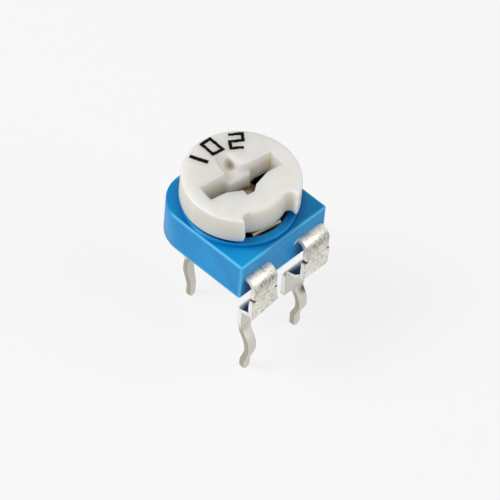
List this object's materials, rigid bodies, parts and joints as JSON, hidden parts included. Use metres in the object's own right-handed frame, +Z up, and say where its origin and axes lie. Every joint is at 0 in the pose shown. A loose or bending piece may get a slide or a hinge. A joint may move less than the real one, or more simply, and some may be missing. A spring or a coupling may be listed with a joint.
{
  "type": "trimmer potentiometer",
  "caption": "Single-turn carbon trimmer potentiometer, 6.5 mm wide, with a blue moulded base, a white top-adjust rotor and three snap-in legs.",
  "frame": {"origin": "on the rotor axis, at the board surface on which the terminal shoulders stand", "axes": "+Z up along the rotor axis, -Y towards the side of the two end terminals, +X to the right seen from that side"},
  "size_m": [0.0066, 0.0077, 0.0113],
  "materials": {
    "base": "satin moulded",
    "rotor": "matt moulded",
    "element": "printed carbon film on phenolic board",
    "wiper": "plain sheet",
    "eyelet": "tarnished",
    "terminals": "tinned sheet, scratched"
  },
  "bodies": {
    "base": {"base": "base", "resistive_element": "element", "center_eyelet": "eyelet", "wiper_terminal": "terminals", "left_terminal": "terminals", "right_terminal": "terminals"},
    "rotor": {"rotor": "rotor", "wiper_contact": "wiper"}
  },
  "joints": [
    {"name": "rotor_turn", "type": "hinge", "parent": "base", "child": "rotor", "pos_m": [0, 0, 0.006], "axis": [0, 0, 1], "range_deg": [-100, 120]}
  ]
}
